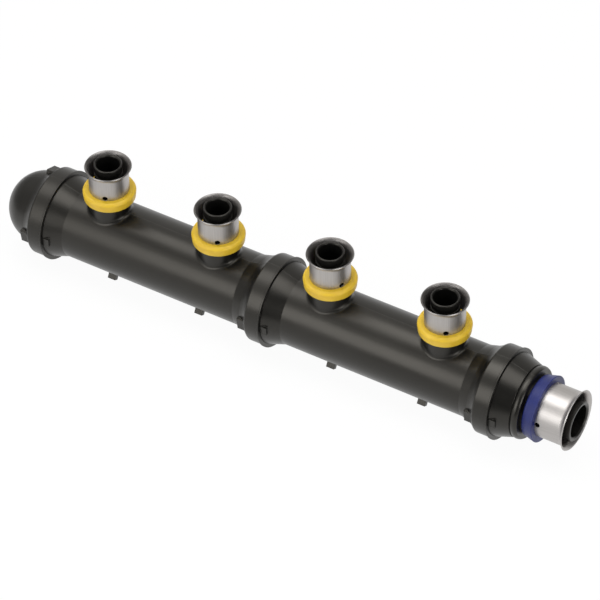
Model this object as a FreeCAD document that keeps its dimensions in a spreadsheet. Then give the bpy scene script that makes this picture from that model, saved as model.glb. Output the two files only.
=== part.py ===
import FreeCAD, Part
import math
import operator
import os

import Sketcher
from FreeCAD import Placement, Rotation, Vector

# A four-outlet manifold for press-fit plastic pipe. The header lies along X with the inlet at
# +X, the outlets point up +Z, and the origin is where the supply pipe stops on the inlet's axis.

# Driving sizes in millimetres and degrees, each with its meaning
SIZES = [
    ("outlet_pitch", 54.5, "between neighbouring outlet axes"),
    ("tube_diameter", 31.75, "header tube, outside"),
    ("tube_wall", 3.0, "header tube"),
    ("taper_rise", 2.7, "spigot shoulder above the tube"),
    ("taper_length", 8.0, "spigot shoulder down to the tube"),
    ("spigot_rise", 0.9, "welded spigot above the tube"),
    ("spigot_length", 8.0, "welded spigot"),
    ("socket_room", 0.3, "free depth behind a seated spigot"),
    ("collar_rise", 3.8, "socket collar above the tube"),
    ("collar_length", 7.2, "cylindrical length of the collar"),
    ("collar_round", 1.0, "rounded back edge of the collar"),
    ("flare_length", 4.0, "hollow flare behind the collar"),
    ("flare_bend", 10.0, "bend of that flare"),
    ("cone_rise", 1.15, "foot of the flare above the tube"),
    ("cone_length", 4.3, "shallow cone between tube and flare"),
    ("flash_rise", 0.5, "weld flash above the collar"),
    ("flash_width", 0.7, "weld flash along the header"),
    ("dome_rise", 0.2, "cap dome above the tube"),
    ("cap_barrel", 10.4, "dome centre to the weld plane"),
    ("lug_offset", 11.5, "weld plane to the back of a drive lug"),
    ("lug_length", 3.2, "drive lug along the header"),
    ("lug_width", 6.0, "drive lug around the header"),
    ("lug_rise", 2.6, "drive lug above the tube"),
    ("lug_angle", 98.0, "drive lug away from the outlets, about the header"),
    ("mark_length", 3.2, "alignment mark along the header"),
    ("mark_width", 3.8, "alignment mark around the header"),
    ("mark_rise", 3.0, "alignment mark above the tube"),
    ("mark_angle", 91.0, "alignment mark away from the outlets, about the header"),
    ("foot_spread", 43.8, "between the two locating feet of a body"),
    ("foot_length", 3.7, "locating foot along the header"),
    ("foot_width", 2.2, "locating foot around the header"),
    ("foot_rise", 2.8, "locating foot above the tube"),
    ("foot_angle", 150.0, "locating foot away from the outlets, about the header"),
    ("neck_height", 9.1, "tube crown to an outlet's pipe stop"),
    ("neck_fillet", 1.6, "where a neck meets the tube"),
    ("bead_length", 3.4, "rounded bead around the adapter's mouth"),
    ("bead_rise", 0.65, "crown of the bead above its foot"),
    ("bead_foot", 0.55, "foot of the bead below the tube's outside"),
    ("inlet_ring_gap", 0.75, "bead to the inlet ring"),
    ("reducer_start", 2.5, "weld plane to the adapter's inner cone"),
    ("reducer_length", 6.5, "inner cone of the adapter"),
    ("outlet_pipe_diameter", 15.88, "pipe on an outlet, outside"),
    ("outlet_pipe_wall", 1.78, "pipe on an outlet"),
    ("outlet_insert_wall", 1.1, "outlet insert"),
    ("outlet_sleeve_length", 13.5, "outlet pipe stop to the sleeve's mouth"),
    ("outlet_ring_height", 4.6, "outlet ring"),
    ("outlet_ring_taper", 0.3, "outlet ring, narrower at its foot"),
    ("outlet_ring_round", 1.5, "rounded mouth side of the outlet ring"),
    ("outlet_ring_foot_round", 0.4, "rounded foot of the outlet ring"),
    ("inlet_pipe_diameter", 22.22, "pipe on the inlet, outside"),
    ("inlet_pipe_wall", 2.46, "pipe on the inlet"),
    ("inlet_insert_wall", 1.6, "inlet insert"),
    ("inlet_sleeve_length", 14.3, "inlet pipe stop to the sleeve's mouth"),
    ("inlet_ring_height", 5.6, "inlet ring"),
    ("inlet_ring_taper", 1.1, "inlet ring, narrower at its foot"),
    ("inlet_ring_round", 0.3, "rounded mouth side of the inlet ring"),
    ("inlet_ring_foot_round", 1.0, "rounded foot of the inlet ring"),
    ("pipe_clearance", 0.2, "pipe inside the sleeve, on the radius"),
    ("insert_clearance", 0.06, "insert inside the pipe, on the radius"),
    ("insert_reach", 1.55, "insert beyond the sleeve's mouth"),
    ("insert_chamfer", 0.25, "outer edge of the insert's tip"),
    ("bore_chamfer", 0.5, "inner edge of the insert's tip"),
    ("groove_depth", 0.35, "grip grooves around the insert"),
    ("groove_width", 1.5, "grip grooves along the insert"),
    ("groove_pitch", 3.2, "between neighbouring grip grooves"),
    ("first_groove", 4.0, "pipe stop to the first grip groove"),
    ("sleeve_wall", 0.5, "sheet of the press sleeve"),
    ("sleeve_lip", 0.35, "turned-out foot of the sleeve, past its outside"),
    ("mouth_height", 2.6, "flared mouth of the sleeve"),
    ("mouth_reach", 1.45, "flared mouth of the sleeve, past its outside"),
    ("view_hole", 2.3, "round window in the sleeve"),
    ("view_hole_rise", 2.6, "pipe stop to the middle of a window"),
    ("ring_over_stop", 1.5, "top of the ring beyond the pipe stop"),
    ("ring_reach", 2.8, "locator ring past the sleeve's outside"),
    ("snap_rise", 0.6, "foot of the ring to its snap bead"),
    ("snap_height", 0.9, "snap bead along the neck"),
    ("snap_depth", 0.3, "snap bead into the neck"),
    ("outlet_turn_1", 21.4, "window of the first outlet's sleeve, from the front"),
    ("outlet_turn_2", 29.2, "window of the second outlet's sleeve, from the front"),
    ("outlet_turn_3", 64.0, "window of the third outlet's sleeve, from the front"),
    ("outlet_turn_4", 32.3, "window of the fourth outlet's sleeve, from the front"),
    ("inlet_turn", -7.4, "window of the inlet's sleeve, from the front"),
]

OUTLETS_PER_BODY = 2
WINDOWS_PER_SLEEVE = 3
GROOVES_PER_INSERT = 3
CAP_LUGS = 3

doc = FreeCAD.newDocument("press_manifold")
sheet = doc.addObject("Spreadsheet::Sheet", "sizes")

OPERATIONS = {"+": operator.add, "-": operator.sub, "*": operator.mul, "/": operator.truediv}


class Size:
    """A number that remembers its formula over the sheet's cells, so properties can be bound to it."""

    def __init__(self, number, formula):
        self.number = number
        self.formula = formula

    def joined(self, sign, other, swapped=False):
        other = other if isinstance(other, Size) else Size(other, str(other))
        left, right = (other, self) if swapped else (self, other)
        number = OPERATIONS[sign](left.number, right.number)
        return Size(number, f"({left.formula} {sign} {right.formula})")

    def __add__(self, other):
        return self.joined("+", other)

    def __sub__(self, other):
        return self.joined("-", other)

    def __mul__(self, other):
        return self.joined("*", other)

    def __truediv__(self, other):
        return self.joined("/", other)

    def __neg__(self):
        return self.joined("-", 0, swapped=True)


def root(size):
    return Size(math.sqrt(size.number), f"sqrt({size.formula})")


def driving(name):
    return Size(float(sheet.get(name)), f"sizes.{name}")


for row, (alias, number, meaning) in enumerate(SIZES, start=1):
    sheet.set(f"A{row}", alias)
    sheet.set(f"B{row}", str(number))
    sheet.set(f"C{row}", meaning)
    sheet.setAlias(f"B{row}", alias)
doc.recompute()


def bind(item, path, size):
    item.setExpression(path, size.formula)


def new_body(label):
    body = doc.addObject("PartDesign::Body", label)
    body.Label = label
    return body


def datum(body, role):
    """The body's own origin plane or axis with this role."""
    return next(item for item in body.Origin.OriginFeatures if item.Role == role)


def new_sketch(body, name, plane):
    sketch = body.newObject("Sketcher::SketchObject", name)
    sketch.AttachmentSupport = [(datum(body, plane), "")]
    sketch.MapMode = "FlatFace"
    return sketch


def edge_between(start, end, bend):
    """A line, or an arc of the bend's radius with its centre left or right of the way from start to end."""
    if bend is None:
        return Part.LineSegment(start, end)
    radius, side = bend
    along = end - start
    left = Vector(-along.y, along.x, 0).normalize()
    reach = math.sqrt(max(radius.number**2 - (along.Length / 2) ** 2, 0))
    centre = (start + end) / 2 + left * (reach if side == "left" else -reach)
    first, last = (start, end) if side == "left" else (end, start)
    angles = [math.atan2(point.y - centre.y, point.x - centre.x) for point in (first, last)]
    return Part.ArcOfCircle(Part.Circle(centre, Vector(0, 0, 1), radius.number), *angles)


def number_of(size):
    return size.number if isinstance(size, Size) else size


def draw_outline(sketch, corners):
    """Close an outline through corners (u, v) or (u, v, bend), where the bend shapes the edge that follows.

    Every corner is held by its two distances from the sketch's origin, bound to the sheet.
    """
    points = [Vector(number_of(corner[0]), number_of(corner[1]), 0) for corner in corners]
    bends = [corner[2] if len(corner) > 2 else None for corner in corners]
    count = len(corners)
    for i in range(count):
        sketch.addGeometry(edge_between(points[i], points[(i + 1) % count], bends[i]))
    starts = [2 if bend and bend[1] == "right" else 1 for bend in bends]
    held = []
    for i, corner in enumerate(corners):
        before = (i - 1) % count
        sketch.addConstraint(Sketcher.Constraint("Coincident", before, 3 - starts[before], i, starts[i]))
        for kind, axis, size in (("DistanceX", -2, corner[0]), ("DistanceY", -1, corner[1])):
            if isinstance(size, Size):
                constraint = Sketcher.Constraint(kind, -1, 1, i, starts[i], size.number)
                held.append((sketch.addConstraint(constraint), size))
            else:
                sketch.addConstraint(Sketcher.Constraint("PointOnObject", i, starts[i], axis))
        if bends[i]:
            radius = bends[i][0]
            held.append((sketch.addConstraint(Sketcher.Constraint("Radius", i, radius.number)), radius))
    for index, size in held:
        bind(sketch, f"Constraints[{index}]", size)
    return sketch


def draw_box(sketch, width, low, high):
    """A rectangle centred on the sketch's vertical axis."""
    half = width / 2
    return draw_outline(sketch, [(-half, low), (half, low), (half, high), (-half, high)])


def draw_circle(sketch, across, along, diameter):
    """A circle whose middle lies at these distances from the sketch's origin."""
    middle = Vector(number_of(across), number_of(along), 0)
    sketch.addGeometry(Part.Circle(middle, Vector(0, 0, 1), diameter.number / 2))
    for kind, axis, size in (("DistanceX", -2, across), ("DistanceY", -1, along)):
        if isinstance(size, Size):
            index = sketch.addConstraint(Sketcher.Constraint(kind, -1, 1, 0, 3, size.number))
            bind(sketch, f"Constraints[{index}]", size)
        else:
            sketch.addConstraint(Sketcher.Constraint("PointOnObject", 0, 3, axis))
    index = sketch.addConstraint(Sketcher.Constraint("Diameter", 0, diameter.number))
    bind(sketch, f"Constraints[{index}]", diameter)
    return sketch


def revolve(body, kind, name, sketch, axis):
    """A full turn of the sketch about its own H_Axis or V_Axis, added (Revolution) or cut (Groove)."""
    feature = body.newObject(f"PartDesign::{kind}", name)
    feature.Profile = sketch
    feature.ReferenceAxis = (sketch, [axis])
    feature.Angle = 360
    return feature


def extrude(body, kind, name, sketch, length):
    """The sketch's area pushed by this length, added (Pad) or cut (Pocket)."""
    feature = body.newObject(f"PartDesign::{kind}", name)
    feature.Profile = sketch
    bind(feature, "Length", length)
    return feature


def repeat_along(body, name, feature, count, length):
    pattern = body.newObject("PartDesign::LinearPattern", name)
    pattern.Originals = [feature]
    pattern.Direction = (datum(body, "X_Axis"), [""])
    pattern.Occurrences = count
    bind(pattern, "Length", length)
    body.Tip = pattern
    return pattern


def repeat_around(body, name, feature, axis, count):
    pattern = body.newObject("PartDesign::PolarPattern", name)
    pattern.Originals = [feature]
    pattern.Axis = (datum(body, axis), [""])
    pattern.Angle = 360
    pattern.Occurrences = count
    body.Tip = pattern
    return pattern


def mirror(body, name, feature):
    """The feature again on the far side of the plane through the header and its outlets."""
    mirrored = body.newObject("PartDesign::Mirrored", name)
    mirrored.Originals = [feature]
    mirrored.MirrorPlane = (datum(body, "XZ_Plane"), [""])
    body.Tip = mirrored
    return mirrored


def round_edges(body, name, radius, wanted):
    """Fillet the edges of the body so far whose points all pass the test."""
    doc.recompute()
    tip = body.Tip
    names = []
    for i, edge in enumerate(tip.Shape.Edges, start=1):
        if not edge.Degenerated and all(wanted(point) for point in edge.discretize(5)):
            names.append(f"Edge{i}")
    fillet = body.newObject("PartDesign::Fillet", name)
    fillet.Base = (tip, names)
    bind(fillet, "Radius", radius)
    return fillet


def radius_about_x(point):
    return math.hypot(point.y, point.z)


# Radii and places that follow from the driving sizes
TOUCHING = 0.01
tube_radius = driving("tube_diameter") / 2
bore_radius = tube_radius - driving("tube_wall")
spigot_radius = tube_radius + driving("spigot_rise")
taper_radius = tube_radius + driving("taper_rise")
cone_radius = tube_radius + driving("cone_rise")
collar_radius = tube_radius + driving("collar_rise")
flash_radius = collar_radius + driving("flash_rise")
lug_radius = tube_radius + driving("lug_rise")
mark_radius = tube_radius + driving("mark_rise")
foot_radius = tube_radius + driving("foot_rise")
spigot_length = driving("spigot_length")
socket_depth = spigot_length + driving("socket_room")
body_length = driving("outlet_pitch") * OUTLETS_PER_BODY
collar_reach = driving("collar_length") + driving("flare_length") + driving("cone_length")
plain_tube_middle = (driving("taper_length") + body_length - collar_reach) / 2
outlet_row = driving("outlet_pitch") * (OUTLETS_PER_BODY - 1)
first_outlet = plain_tube_middle - outlet_row / 2
outlet_stop = tube_radius + driving("neck_height")


class PressEnd:
    """The shared radii and lengths of one pipe connection, outlet or inlet, from its pipe's size."""

    def __init__(self, name):
        pipe_radius = driving(f"{name}_pipe_diameter") / 2
        self.insert_radius = pipe_radius - driving(f"{name}_pipe_wall") - driving("insert_clearance")
        self.bore_radius = self.insert_radius - driving(f"{name}_insert_wall")
        self.sleeve_inner = pipe_radius + driving("pipe_clearance")
        self.sleeve_outer = self.sleeve_inner + driving("sleeve_wall")
        self.neck_radius = self.sleeve_outer + driving("sleeve_lip")
        self.ring_radius = self.sleeve_outer + driving("ring_reach")
        self.ring_foot = self.ring_radius - driving(f"{name}_ring_taper")
        self.sleeve_length = driving(f"{name}_sleeve_length")
        self.insert_length = self.sleeve_length + driving("insert_reach")
        self.ring_height = driving(f"{name}_ring_height")
        self.ring_round = driving(f"{name}_ring_round")
        self.ring_foot_round = driving(f"{name}_ring_foot_round")
        self.ring_below_stop = self.ring_height - driving("ring_over_stop")

    def neck_and_insert(self, stop):
        """Half outline of the neck from its snap groove to the tip of the insert, as (radius, height)."""
        snap_low = stop - self.ring_below_stop + driving("snap_rise")
        snap_high = snap_low + driving("snap_height")
        snap_floor = self.neck_radius - driving("snap_depth")
        tip = stop + self.insert_length
        corners = [
            (self.neck_radius, snap_low),
            (snap_floor, snap_low),
            (snap_floor, snap_high),
            (self.neck_radius, snap_high),
            (self.neck_radius, stop),
            (self.insert_radius, stop),
        ]
        groove_floor = self.insert_radius - driving("groove_depth")
        for i in range(GROOVES_PER_INSERT):
            low = stop + driving("first_groove") + driving("groove_pitch") * i
            corners.append((self.insert_radius, low))
            corners.append((groove_floor, low))
            corners.append((self.insert_radius, low + driving("groove_width")))
        corners.append((self.insert_radius, tip - driving("insert_chamfer")))
        corners.append((self.insert_radius - driving("insert_chamfer"), tip))
        return corners


outlet = PressEnd("outlet")
inlet = PressEnd("inlet")
bead_reach = driving("taper_length") + driving("bead_length")
adapter_length = bead_reach + driving("inlet_ring_gap") + inlet.ring_below_stop


def swap(corners):
    """The same corners for a sketch whose turning axis is its horizontal one."""
    return [(height, radius) for radius, height in corners]


def collar_corners(weld, back):
    """Outline of a socket collar up to the weld plane, from the foot of its flare."""
    flash_start = weld - driving("flash_width")
    return back + [
        (weld - driving("collar_length"), collar_radius),
        (flash_start, collar_radius),
        (flash_start, flash_radius),
        (weld, flash_radius),
    ]


def round_collar(body, weld):
    back_edge = (weld - driving("collar_length")).number

    def on_back_edge(point):
        on_radius = abs(radius_about_x(point) - collar_radius.number) < TOUCHING
        return on_radius and abs(point.x - back_edge) < TOUCHING

    return round_edges(body, "collar_edge", driving("collar_round"), on_back_edge)


def block_on_header(body, name, start, length, width, top, angle):
    """A small block on the header's outside, turned by an angle from the outlets towards the front."""
    sketch = new_sketch(body, f"{name}_outline", "YZ_Plane")
    sketch.AttachmentOffset = Placement(Vector(0, 0, 0), Rotation(Vector(0, 0, 1), 0))
    bind(sketch, "AttachmentOffset.Base.z", start)
    bind(sketch, "AttachmentOffset.Rotation.Angle", angle)
    draw_box(sketch, width, bore_radius + driving("tube_wall") / 2, top)
    return extrude(body, "Pad", name, sketch, length)


def drive_lug(body, weld):
    """A block behind the socket collar, for the tool that turns the moulding while it is welded."""
    start = weld - driving("lug_offset")
    length = driving("lug_length")
    width = driving("lug_width")
    return block_on_header(body, "drive_lug", start, length, width, lug_radius, driving("lug_angle"))


def alignment_marks(body):
    """A raised pad on each side of the spigot's shoulder, against the weld."""
    length = driving("mark_length")
    width = driving("mark_width")
    angle = driving("mark_angle")
    pad = block_on_header(body, "mark", spigot_length, length, width, mark_radius, angle)
    mirror(body, "mark_pair", pad)


def end_cap(label, place):
    """Domed cap: a dome that runs out into a cone, a flare and a socket collar, with lugs to drive the weld."""
    body = new_body(label)
    dome = tube_radius + driving("dome_rise")
    weld = dome + driving("cap_barrel")
    cone_start = weld - collar_reach
    short_of_centre = dome - cone_start
    cone_foot = root(dome * dome - short_of_centre * short_of_centre)
    cone_top = cone_foot + driving("cone_length") * short_of_centre / cone_foot
    outside = new_sketch(body, "shell_outline", "XZ_Plane")
    back = [
        (0, 0, (dome, "right")),
        (cone_start, cone_foot),
        (cone_start + driving("cone_length"), cone_top, (driving("flare_bend"), "left")),
    ]
    draw_outline(outside, collar_corners(weld, back) + [(weld, 0)])
    revolve(body, "Revolution", "shell", outside, "H_Axis")
    round_collar(body, weld)
    lug = drive_lug(body, weld)
    repeat_around(body, "drive_lugs", lug, "X_Axis", CAP_LUGS)
    hollow = new_sketch(body, "hollow_outline", "XZ_Plane")
    inner_dome = dome - driving("tube_wall")
    socket_floor = weld - socket_depth
    draw_outline(
        hollow,
        [
            (driving("tube_wall"), 0, (inner_dome, "right")),
            (dome, inner_dome),
            (socket_floor, inner_dome),
            (socket_floor, spigot_radius),
            (weld, spigot_radius),
            (weld, 0),
        ],
    )
    revolve(body, "Groove", "hollow", hollow, "H_Axis")
    bind(body, "Placement.Base.x", place - weld)
    return body


def header_body(label, place):
    """Two-outlet moulding: spigot, tapered shoulder, tube, socket collar and two ribbed pipe stubs."""
    body = new_body(label)
    weld = spigot_length + body_length
    cone_start = weld - collar_reach
    barrel = new_sketch(body, "barrel_outline", "XZ_Plane")
    back = [
        (0, 0),
        (0, spigot_radius),
        (spigot_length, spigot_radius),
        (spigot_length, taper_radius),
        (spigot_length + driving("taper_length"), tube_radius),
        (cone_start, tube_radius),
        (cone_start + driving("cone_length"), cone_radius, (driving("flare_bend"), "left")),
    ]
    draw_outline(barrel, collar_corners(weld, back) + [(weld, 0)])
    revolve(body, "Revolution", "barrel", barrel, "H_Axis")
    round_collar(body, weld)

    first_axis = spigot_length + first_outlet
    tip = outlet_stop + outlet.insert_length
    stub = new_sketch(body, "stub_outline", "XZ_Plane")
    bind(stub, "AttachmentOffset.Base.x", first_axis)
    draw_outline(stub, [(0, 0), (outlet.neck_radius, 0)] + outlet.neck_and_insert(outlet_stop) + [(0, tip)])
    stub_feature = revolve(body, "Revolution", "stub", stub, "V_Axis")
    repeat_along(body, "stubs", stub_feature, OUTLETS_PER_BODY, driving("outlet_pitch"))

    axes = [first_axis.number + driving("outlet_pitch").number * i for i in range(OUTLETS_PER_BODY)]

    def on_saddle(point):
        on_tube = abs(radius_about_x(point) - tube_radius.number) < TOUCHING
        gaps = [abs(math.hypot(point.x - x, point.y) - outlet.neck_radius.number) for x in axes]
        return on_tube and min(gaps) < TOUCHING

    round_edges(body, "neck_fillets", driving("neck_fillet"), on_saddle)

    lug = drive_lug(body, weld)
    mirror(body, "drive_lugs", lug)
    middle = first_axis + outlet_row / 2
    foot_start = middle - driving("foot_spread") / 2 - driving("foot_length") / 2
    foot_width = driving("foot_width")
    for name, start in (("near_foot", foot_start), ("far_foot", foot_start + driving("foot_spread"))):
        foot = block_on_header(
            body, name, start, driving("foot_length"), foot_width, foot_radius, driving("foot_angle")
        )
        mirror(body, f"{name}_pair", foot)
    alignment_marks(body)

    waterway = new_sketch(body, "waterway_outline", "XZ_Plane")
    socket_floor = weld - socket_depth
    draw_outline(
        waterway,
        [
            (0, 0),
            (0, bore_radius),
            (socket_floor, bore_radius),
            (socket_floor, spigot_radius),
            (weld, spigot_radius),
            (weld, 0),
        ],
    )
    revolve(body, "Groove", "waterway", waterway, "H_Axis")
    bore = new_sketch(body, "bore_outline", "XZ_Plane")
    bind(bore, "AttachmentOffset.Base.x", first_axis)
    chamfer = driving("bore_chamfer")
    draw_outline(
        bore,
        [
            (0, 0),
            (outlet.bore_radius, 0),
            (outlet.bore_radius, tip - chamfer),
            (outlet.bore_radius + chamfer, tip),
            (0, tip),
        ],
    )
    bore_feature = revolve(body, "Groove", "bore", bore, "V_Axis")
    repeat_along(body, "bores", bore_feature, OUTLETS_PER_BODY, driving("outlet_pitch"))
    bind(body, "Placement.Base.x", place - spigot_length)
    return body


def inlet_adapter(label):
    """Reducer from the header's bore to the supply pipe: spigot, tapered shoulder, bead, neck and insert."""
    body = new_body(label)
    stop = spigot_length + adapter_length
    tip = stop + inlet.insert_length
    taper_end = spigot_length + driving("taper_length")
    bead_end = spigot_length + bead_reach
    bead_foot = tube_radius - driving("bead_foot")
    half_bead = driving("bead_length") / 2
    bead_rise = driving("bead_rise")
    bead_bend = (half_bead * half_bead + bead_rise * bead_rise) / (bead_rise * 2)
    barrel = new_sketch(body, "barrel_outline", "XZ_Plane")
    draw_outline(
        barrel,
        [
            (0, 0),
            (0, spigot_radius),
            (spigot_length, spigot_radius),
            (spigot_length, taper_radius),
            (taper_end, tube_radius),
            (taper_end, bead_foot, (bead_bend, "right")),
            (bead_end, bead_foot),
            (bead_end, inlet.neck_radius),
        ]
        + swap(inlet.neck_and_insert(stop))
        + [(tip, 0)],
    )
    revolve(body, "Revolution", "barrel", barrel, "H_Axis")
    alignment_marks(body)
    waterway = new_sketch(body, "waterway_outline", "XZ_Plane")
    reducer_start = spigot_length + driving("reducer_start")
    chamfer = driving("bore_chamfer")
    draw_outline(
        waterway,
        [
            (0, 0),
            (0, bore_radius),
            (reducer_start, bore_radius),
            (reducer_start + driving("reducer_length"), inlet.bore_radius),
            (tip - chamfer, inlet.bore_radius),
            (tip, inlet.bore_radius + chamfer),
            (tip, 0),
        ],
    )
    revolve(body, "Groove", "waterway", waterway, "H_Axis")
    bind(body, "Placement.Base.x", -stop)
    return body


def press_sleeve(label, end, turn):
    """Sheet sleeve standing on the pipe stop: turned-out foot, straight wall, bell mouth and windows."""
    body = new_body(label)
    wall = driving("sleeve_wall")
    mouth_height = driving("mouth_height")
    reach = driving("mouth_reach")
    bend = (mouth_height * mouth_height + reach * reach) / (reach * 2)
    bend_start = end.sleeve_length - mouth_height
    bend_centre = end.sleeve_outer + bend
    mouth_radius = end.sleeve_outer + reach
    spread = (bend + wall) / bend
    profile = new_sketch(body, "wall_outline", "XZ_Plane")
    draw_outline(
        profile,
        [
            (end.sleeve_inner, 0),
            (end.neck_radius, 0),
            (end.neck_radius, wall),
            (end.sleeve_outer, wall),
            (end.sleeve_outer, bend_start, (bend, "right")),
            (mouth_radius, end.sleeve_length),
            (
                bend_centre - (bend_centre - mouth_radius) * spread,
                bend_start + mouth_height * spread,
                (bend + wall, "left"),
            ),
            (end.sleeve_inner, bend_start),
        ],
    )
    revolve(body, "Revolution", "wall", profile, "V_Axis")
    window = new_sketch(body, "window_outline", "XZ_Plane")
    window.AttachmentOffset = Placement(Vector(0, 0, 0), Rotation(Vector(0, 1, 0), 0))
    bind(window, "AttachmentOffset.Rotation.Angle", turn)
    draw_circle(window, 0, driving("view_hole_rise"), driving("view_hole"))
    cut = extrude(body, "Pocket", "window", window, end.neck_radius * 2)
    cut.Reversed = True
    repeat_around(body, "windows", cut, "Z_Axis", WINDOWS_PER_SLEEVE)
    return body


def locator_ring(label, end):
    """Ring that snaps into the neck's groove and traps the sleeve's foot; it also guides the press tool."""
    body = new_body(label)
    height = end.ring_height
    edge = end.ring_round
    foot = end.ring_foot_round
    snap_low = driving("snap_rise")
    snap_high = snap_low + driving("snap_height")
    snap_radius = end.neck_radius - driving("snap_depth")
    lip = end.ring_below_stop + driving("sleeve_wall")
    profile = new_sketch(body, "ring_outline", "XZ_Plane")
    draw_outline(
        profile,
        [
            (end.neck_radius, 0),
            (end.ring_foot - foot, 0, (foot, "left")),
            (end.ring_foot, foot),
            (end.ring_radius, height - edge, (edge, "left")),
            (end.ring_radius - edge, height),
            (end.sleeve_outer, height),
            (end.sleeve_outer, lip),
            (end.neck_radius, lip),
            (end.neck_radius, snap_high),
            (snap_radius, snap_high),
            (snap_radius, snap_low),
            (end.neck_radius, snap_low),
        ],
    )
    revolve(body, "Revolution", "ring", profile, "V_Axis")
    return body


# The mouldings in a row from the cap to the inlet, weld plane to weld plane
inlet_weld = -adapter_length
body_welds = [inlet_weld - body_length * 2, inlet_weld - body_length]
pieces = [
    end_cap("end_cap", body_welds[0]),
    header_body("header_body_left", body_welds[0]),
    header_body("header_body_right", body_welds[1]),
    inlet_adapter("inlet_adapter"),
]

# A sleeve and a ring on every outlet
for i in range(OUTLETS_PER_BODY * len(body_welds)):
    body_weld = body_welds[i // OUTLETS_PER_BODY]
    step = driving("outlet_pitch") * (i % OUTLETS_PER_BODY)
    axis_place = body_weld + first_outlet + step
    outlet_sleeve = press_sleeve(f"outlet_sleeve_{i + 1}", outlet, driving(f"outlet_turn_{i + 1}"))
    bind(outlet_sleeve, "Placement.Base.z", outlet_stop)
    outlet_ring = locator_ring(f"outlet_ring_{i + 1}", outlet)
    bind(outlet_ring, "Placement.Base.z", outlet_stop - outlet.ring_below_stop)
    for piece in (outlet_sleeve, outlet_ring):
        bind(piece, "Placement.Base.x", axis_place)
        pieces.append(piece)

# The same pair on the inlet, laid over to point along +X
along_header = Rotation(Vector(0, 1, 0), 90)
inlet_sleeve = press_sleeve("inlet_sleeve", inlet, driving("inlet_turn"))
inlet_ring = locator_ring("inlet_ring", inlet)
for piece in (inlet_sleeve, inlet_ring):
    piece.Placement = Placement(Vector(0, 0, 0), along_header)
    pieces.append(piece)
bind(inlet_ring, "Placement.Base.x", -inlet.ring_below_stop)

doc.recompute()

for item in doc.Objects:
    if "Invalid" in item.State or "Error" in item.State:
        raise RuntimeError(f"{item.Label} did not build: {item.State}")
for piece in pieces:
    if piece.Shape.isNull() or not piece.Shape.isValid() or len(piece.Shape.Solids) != 1:
        raise RuntimeError(f"{piece.Label} is not one sound solid")

os.makedirs("parts", exist_ok=True)
for piece in pieces:
    piece.Shape.exportStep(f"parts/{piece.Label}.step")
    print(f"{piece.Label}: {piece.Shape.Volume / 1000:.2f} cm3")
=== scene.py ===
import math

import bmesh
import bpy
from mathutils import Matrix, Vector


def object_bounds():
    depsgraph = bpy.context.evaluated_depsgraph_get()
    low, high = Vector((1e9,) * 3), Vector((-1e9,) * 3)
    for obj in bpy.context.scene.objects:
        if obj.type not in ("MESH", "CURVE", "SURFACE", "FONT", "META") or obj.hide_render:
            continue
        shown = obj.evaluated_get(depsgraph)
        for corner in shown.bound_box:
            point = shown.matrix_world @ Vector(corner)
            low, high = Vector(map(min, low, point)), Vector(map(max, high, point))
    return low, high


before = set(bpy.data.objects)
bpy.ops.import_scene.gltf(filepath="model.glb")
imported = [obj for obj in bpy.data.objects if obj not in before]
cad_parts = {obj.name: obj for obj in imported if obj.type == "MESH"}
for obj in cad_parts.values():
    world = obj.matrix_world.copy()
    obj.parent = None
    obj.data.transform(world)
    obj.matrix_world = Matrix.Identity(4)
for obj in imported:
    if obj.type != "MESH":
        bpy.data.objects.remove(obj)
cad_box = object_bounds()

# The mouldings: an end cap, two header bodies and an inlet adapter, spin welded end to end. They are moulded
# in a black plastic, glossy from a polished tool, with a faint flow pattern in the gloss and a fine parting
# line along the top and the bottom, where the two halves of the tool met.
MM = 0.001
MOULDINGS = ("end_cap", "header_body_left", "header_body_right", "inlet_adapter")
BLACK_DEEP = (0.0035, 0.0035, 0.0033, 1.0)
BLACK_WORN = (0.0068, 0.0066, 0.0060, 1.0)
MOULDING_ROUGHNESS = 0.28
MOULDING_GLOSS_TINT = (1.0, 0.95, 0.86, 1.0)
MOULDING_IOR = 1.47
MOULDING_EDGE = 0.3 * MM
FLOW_SIZE = 16 * MM
FLOW_DETAIL = 3.0
FLOW_STRETCH = (0.35, 1.0, 1.0)
FLOW_COLOUR_EDGES = (0.3, 0.75)
FLOW_DULL_EDGES = (0.35, 0.7)
FLOW_DULLING = 0.07
GRAIN_SIZE = 0.55 * MM
GRAIN_DEPTH = 0.004 * MM
GRAIN_DULLING = 0.03
PARTING_HALF_WIDTH = 0.22 * MM
PARTING_HALF_CREST = 0.3 * PARTING_HALF_WIDTH
PARTING_HEIGHT = 0.03 * MM
PARTING_DULLING = 0.08
EVEN = (1.0, 1.0, 1.0)
NOISE_ROUGHNESS = 0.55
EDGE_SAMPLES = 6


class Wire:
    """An output socket. Python's operators on it add Math nodes."""

    def __init__(self, finish, socket):
        self.finish = finish
        self.socket = socket

    def math(self, operation, *values):
        return self.finish.node("ShaderNodeMath", {"operation": operation}, dict(enumerate(values)))

    def __add__(self, other):
        return self.math("ADD", self, other)

    def __radd__(self, other):
        return self.math("ADD", other, self)

    def __sub__(self, other):
        return self.math("SUBTRACT", self, other)

    def __rsub__(self, other):
        return self.math("SUBTRACT", other, self)

    def __mul__(self, other):
        return self.math("MULTIPLY", self, other)

    def __rmul__(self, other):
        return self.math("MULTIPLY", other, self)

    def __abs__(self):
        return self.math("ABSOLUTE", self)


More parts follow.
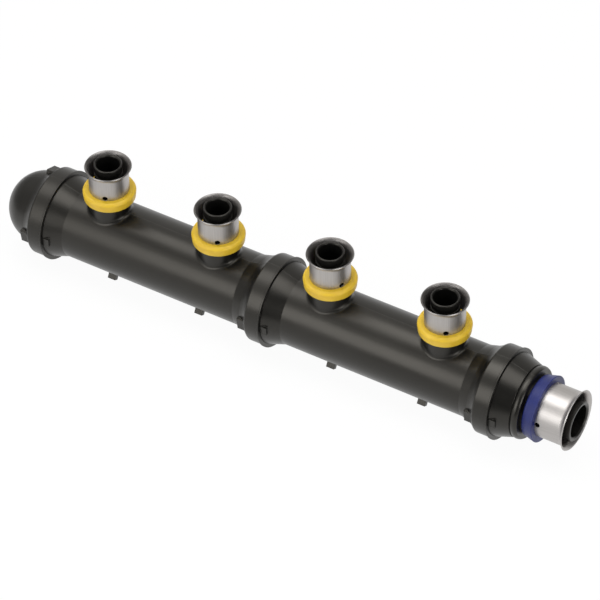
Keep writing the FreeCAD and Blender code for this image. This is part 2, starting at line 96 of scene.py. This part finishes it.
class Finish:
    """The nodes of one material, or of the world."""

    def __init__(self, owner):
        self.owner = owner
        owner.use_nodes = True
        self.tree = owner.node_tree
        self.tree.nodes.clear()

    def node(self, kind, settings=None, inputs=None, output=0):
        """Adds a node of any kind. An input is a Wire or a plain value."""
        made = self.tree.nodes.new(kind)
        for name, value in (settings or {}).items():
            setattr(made, name, value)
        for key, value in (inputs or {}).items():
            if isinstance(value, Wire):
                self.tree.links.new(value.socket, made.inputs[key])
            else:
                made.inputs[key].default_value = value
        return Wire(self, made.outputs[output]) if made.outputs else None

    def place(self, stretch=EVEN):
        """Object coordinates, in metres. A share below 1 draws a pattern out along that axis."""
        spot = self.node("ShaderNodeTexCoord", output="Object")
        return self.node("ShaderNodeMapping", {"vector_type": "POINT"}, {"Vector": spot, "Scale": stretch})

    def along(self, axis):
        """The place along one axis, in metres."""
        return self.node("ShaderNodeSeparateXYZ", inputs={"Vector": self.place()}, output=axis)

    def noise(self, size, detail=2.0, stretch=EVEN):
        """Cloudy noise from 0 to 1 with spots of about that size, in metres."""
        inputs = {
            "Vector": self.place(stretch),
            "Scale": 1.0 / size,
            "Detail": detail,
            "Roughness": NOISE_ROUGHNESS,
        }
        return self.node("ShaderNodeTexNoise", {"noise_dimensions": "3D"}, inputs)

    def step(self, value, low, high):
        """A smooth step from 0 at low to 1 at high."""
        inputs = {"Value": value, "From Min": low, "From Max": high}
        return self.node("ShaderNodeMapRange", {"interpolation_type": "SMOOTHSTEP"}, inputs)

    def blend(self, share, first, second):
        """One colour going over into another."""
        return self.node("ShaderNodeMix", {"data_type": "RGBA"}, {0: share, 6: first, 7: second}, output=2)

    def relief(self, height, edge):
        """The normal of a surface with this relief, in metres, and with its edges rounded off."""
        rounded = self.node("ShaderNodeBevel", {"samples": EDGE_SAMPLES}, {"Radius": edge})
        return self.node("ShaderNodeBump", inputs={"Height": height, "Distance": 1.0, "Normal": rounded})

    def surface(self, **sockets):
        """The material's shader, with its sockets named as in Blender but with _ for a space."""
        inputs = {name.replace("_", " "): value for name, value in sockets.items()}
        shader = self.node("ShaderNodeBsdfPrincipled", inputs=inputs)
        self.node("ShaderNodeOutputMaterial", inputs={"Surface": shader})

    def dress(self, *nodes):
        """Puts the material on these CAD nodes."""
        for name in nodes:
            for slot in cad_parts[name].material_slots:
                slot.material = self.owner


moulding = Finish(bpy.data.materials.new("black_moulding"))
flow = moulding.noise(FLOW_SIZE, FLOW_DETAIL, FLOW_STRETCH)
grain = moulding.noise(GRAIN_SIZE)
parting = 1 - moulding.step(abs(moulding.along("Y")), PARTING_HALF_CREST, PARTING_HALF_WIDTH)
flow_dulling = FLOW_DULLING * moulding.step(flow, *FLOW_DULL_EDGES)
moulding.surface(
    Base_Color=moulding.blend(moulding.step(flow, *FLOW_COLOUR_EDGES), BLACK_DEEP, BLACK_WORN),
    Roughness=MOULDING_ROUGHNESS + flow_dulling + GRAIN_DULLING * grain + PARTING_DULLING * parting,
    IOR=MOULDING_IOR,
    Specular_Tint=MOULDING_GLOSS_TINT,
    Normal=moulding.relief(grain * GRAIN_DEPTH + parting * PARTING_HEIGHT, MOULDING_EDGE),
)
moulding.dress(*MOULDINGS)

# The sleeves: short press sleeves of thin stainless tube, one on each outlet and a larger one on the inlet.
# The tube is drawn, which leaves fine lines along it, and its foot is held under a locator ring. Its mouth is
# turned out. On the small sleeves that lip is painted darker than the tube, a painted shade for the dim
# reflection the lip shows. The inlet's lip gets the plain light steel.
OUTLETS = (1, 2, 3, 4)
STEEL_DARK = (0.408, 0.389, 0.376, 1.0)
STEEL_LIGHT = (0.461, 0.442, 0.428, 1.0)
STEEL_ROUGHNESS = 0.36
SLEEVE_EDGE = 0.12 * MM
LINE_SIZE = 0.35 * MM
LINE_DETAIL = 3.0
LINE_STRETCH = 0.02
LINE_EDGES = (0.3, 0.7)
LINE_DEPTH = 0.001 * MM
LINE_DULLING = 0.06
CLOUD_SIZE = 6 * MM
CLOUD_DULLING = 0.05
# A painted shade: the darker steel colour laid on the turned-out lips of the small sleeves.
LIP_PAINTED_SHADE = (0.278, 0.265, 0.256, 1.0)
LIP_DEPTH = 1.2 * MM
OUTLET_MOUTH = 38.475 * MM
INLET_MOUTH = 14.3 * MM


def drawn_steel(name, stretch, axis, mouth, painted_lip_tone):
    steel = Finish(bpy.data.materials.new(name))
    lines = steel.noise(LINE_SIZE, LINE_DETAIL, stretch)
    clouds = steel.noise(CLOUD_SIZE)
    wall = steel.blend(steel.step(lines, *LINE_EDGES), STEEL_DARK, STEEL_LIGHT)
    # The lip of the mouth fades to the given tone. On the small sleeves this is a painted shade of darker
    # steel, and on the inlet it is the plain light steel.
    painted_lip = steel.step(steel.along(axis), mouth - LIP_DEPTH, mouth)
    steel.surface(
        Base_Color=steel.blend(painted_lip, wall, painted_lip_tone),
        Metallic=1.0,
        Roughness=STEEL_ROUGHNESS + LINE_DULLING * lines + CLOUD_DULLING * clouds,
        Normal=steel.relief(lines * LINE_DEPTH, SLEEVE_EDGE),
    )
    return steel


outlet_steel = drawn_steel("outlet_sleeve_steel", (1.0, 1.0, LINE_STRETCH), "Z", OUTLET_MOUTH, LIP_PAINTED_SHADE)
outlet_steel.dress(*(f"outlet_sleeve_{i}" for i in OUTLETS))
inlet_steel = drawn_steel("inlet_sleeve_steel", (LINE_STRETCH, 1.0, 1.0), "X", INLET_MOUTH, STEEL_LIGHT)
inlet_steel.dress("inlet_sleeve")

# The locator rings: plain rings snapped over the feet of the sleeves, moulded in coloured plastic so that the
# fitter sees the pipe size, yellow for the small outlets and blue for the large inlet.
YELLOW_LIGHT = (0.68, 0.455, 0.027, 1.0)
YELLOW_DEEP = (0.62, 0.397, 0.020, 1.0)
BLUE_LIGHT = (0.009, 0.016, 0.116, 1.0)
BLUE_DEEP = (0.007, 0.012, 0.096, 1.0)
RING_ROUGHNESS = 0.36
RING_IOR = 1.45
RING_EDGE = 0.3 * MM
MOTTLE_SIZE = 5 * MM
MOTTLE_DETAIL = 3.0
MOTTLE_EDGES = (0.3, 0.7)
MOTTLE_DULLING = 0.08
TEXTURE_SIZE = 0.4 * MM
TEXTURE_DEPTH = 0.006 * MM
TEXTURE_DULLING = 0.05


def ring_plastic(name, light, deep):
    plastic = Finish(bpy.data.materials.new(name))
    mottle = plastic.noise(MOTTLE_SIZE, MOTTLE_DETAIL)
    texture = plastic.noise(TEXTURE_SIZE)
    plastic.surface(
        Base_Color=plastic.blend(plastic.step(mottle, *MOTTLE_EDGES), light, deep),
        Roughness=RING_ROUGHNESS + MOTTLE_DULLING * mottle + TEXTURE_DULLING * texture,
        IOR=RING_IOR,
        Normal=plastic.relief(texture * TEXTURE_DEPTH, RING_EDGE),
    )
    return plastic


yellow_plastic = ring_plastic("yellow_ring_plastic", YELLOW_LIGHT, YELLOW_DEEP)
yellow_plastic.dress(*(f"outlet_ring_{i}" for i in OUTLETS))
blue_plastic = ring_plastic("blue_ring_plastic", BLUE_LIGHT, BLUE_DEEP)
blue_plastic.dress("inlet_ring")

# The floor: a wide sheet of white paper that the part lies on, with its near and left edges a little way from
# the part. It shows white in the picture and in the gloss of the part, and keeps a faint shadow.
FLOOR_HALF = 6.0
FLOOR_FRONT = 0.2
FLOOR_LEFT = 0.39
PAPER_WHITE = (0.86, 0.86, 0.855, 1.0)
PAPER_FIBRE = (0.84, 0.84, 0.835, 1.0)
PAPER_ROUGHNESS = 0.9
PAPER_GLOW = 0.95
FIBRE_SIZE = 3 * MM
FIBRE_DETAIL = 3.0
PURE_WHITE = (1.0, 1.0, 1.0, 1.0)

paper_bm = bmesh.new()
bmesh.ops.create_grid(paper_bm, x_segments=1, y_segments=1, size=FLOOR_HALF)
paper_centre = (FLOOR_HALF - FLOOR_LEFT, FLOOR_HALF - FLOOR_FRONT, cad_box[0].z)
bmesh.ops.translate(paper_bm, verts=paper_bm.verts, vec=paper_centre)
paper_mesh = bpy.data.meshes.new("floor_paper")
paper_bm.to_mesh(paper_mesh)
paper_bm.free()
floor = bpy.data.objects.new("floor_paper", paper_mesh)
bpy.context.scene.collection.objects.link(floor)

paper = Finish(bpy.data.materials.new("white_paper"))
fibre = paper.noise(FIBRE_SIZE, FIBRE_DETAIL)
sheet = paper.node(
    "ShaderNodeBsdfPrincipled",
    inputs={
        "Base Color": paper.blend(fibre, PAPER_WHITE, PAPER_FIBRE),
        "Roughness": PAPER_ROUGHNESS,
        "Specular IOR Level": 0.0,
    },
)
glow = paper.node("ShaderNodeEmission", inputs={"Color": PURE_WHITE, "Strength": 1.0})
seen = paper.node("ShaderNodeLightPath", output="Is Camera Ray")
mirrored = paper.node("ShaderNodeLightPath", output="Is Glossy Ray")
through = paper.node("ShaderNodeLightPath", output="Is Transmission Ray")
glow_share = (seen + mirrored + through) * PAPER_GLOW
lit = paper.node("ShaderNodeMixShader", inputs={0: glow_share, 1: sheet, 2: glow})
paper.node("ShaderNodeOutputMaterial", inputs={"Surface": lit})
paper_mesh.materials.append(paper.owner)

# The light: a room that is white behind the part, dim at its left end and dark to the right and in front, with
# two soft boxes above the part and one on each side in front of it. A soft box has a place and a size in
# metres and a power in watts, and faces the middle of the part.
ROOM_LIGHT = (0.84, 0.83, 0.81, 1.0)
ROOM_DIM = (0.36, 0.355, 0.35, 1.0)
ROOM_DARK = (0.06, 0.06, 0.058, 1.0)
DIM_SIDE = (-1.0, 0.0, 0.0)
DIM_EDGES = (0.5, 0.85)
DARK_SIDE = (1.0, -0.2, 0.0)
DARK_EDGES = (-0.3, 0.3)
SOFT_BOXES = {
    "soft_box_above_left": ((-0.52, 0.03, 1.0), (0.50, 1.00), 3.6),
    "soft_box_above_right": ((0.08, 0.03, 1.0), (0.70, 1.00), 6.4),
    "soft_box_left": ((-0.36, -0.80, 0.36), (0.62, 0.54), 3.15),
    "soft_box_right": ((0.75, -0.40, 0.32), (0.45, 0.50), 3.3),
}

room = Finish(bpy.data.worlds.new("white_room"))
direction = room.node("ShaderNodeTexCoord", output="Generated")
walls = ROOM_LIGHT
for tone, side, edges in ((ROOM_DIM, DIM_SIDE, DIM_EDGES), (ROOM_DARK, DARK_SIDE, DARK_EDGES)):
    sides = {0: direction, 1: side}
    facing = room.node("ShaderNodeVectorMath", {"operation": "DOT_PRODUCT"}, sides, output="Value")
    walls = room.blend(room.step(facing, *edges), walls, tone)
backdrop = room.node("ShaderNodeLightPath", output="Is Camera Ray")
air_colour = room.blend(backdrop, walls, PURE_WHITE)
air = room.node("ShaderNodeBackground", inputs={"Color": air_colour, "Strength": 1.0})
room.node("ShaderNodeOutputWorld", inputs={"Surface": air})
bpy.context.scene.world = room.owner

middle = (cad_box[0] + cad_box[1]) / 2
for name, (place, size, power) in SOFT_BOXES.items():
    lamp = bpy.data.lights.new(name, "AREA")
    lamp.shape = "RECTANGLE"
    lamp.size, lamp.size_y = size
    lamp.energy = power
    box = bpy.data.objects.new(name, lamp)
    box.location = place
    box.rotation_euler = (middle - Vector(place)).to_track_quat("-Z", "Y").to_euler()
    box.visible_camera = False
    bpy.context.scene.collection.objects.link(box)

# The camera: a long lens from the front right and above, turned slightly about its own axis, at the place that
# was solved from the photo's outlines together with the main sizes of the part.
CAMERA_SENSOR = 36.0
CAMERA_LENS = 247.302
CAMERA_NEAR = 0.05
CAMERA_TARGET = Vector((-0.116776, 0.0, 0.005425))
CAMERA_DISTANCE = 1.7238
CAMERA_AZIMUTH = math.radians(31.96)
CAMERA_ELEVATION = math.radians(43.14)
CAMERA_ROLL = math.radians(-1.22)

lens = bpy.data.cameras.new("photo_camera")
lens.sensor_width = CAMERA_SENSOR
lens.lens = CAMERA_LENS
lens.clip_start = CAMERA_NEAR
camera = bpy.data.objects.new("photo_camera", lens)
turn = (
    Matrix.Rotation(CAMERA_AZIMUTH, 4, "Z")
    @ Matrix.Rotation(math.pi / 2 - CAMERA_ELEVATION, 4, "X")
    @ Matrix.Rotation(CAMERA_ROLL, 4, "Z")
)
back = Matrix.Translation((0, 0, CAMERA_DISTANCE))
camera.matrix_world = Matrix.Translation(CAMERA_TARGET) @ turn @ back
bpy.context.scene.collection.objects.link(camera)
bpy.context.scene.camera = camera
bpy.context.scene.view_settings.view_transform = "Standard"
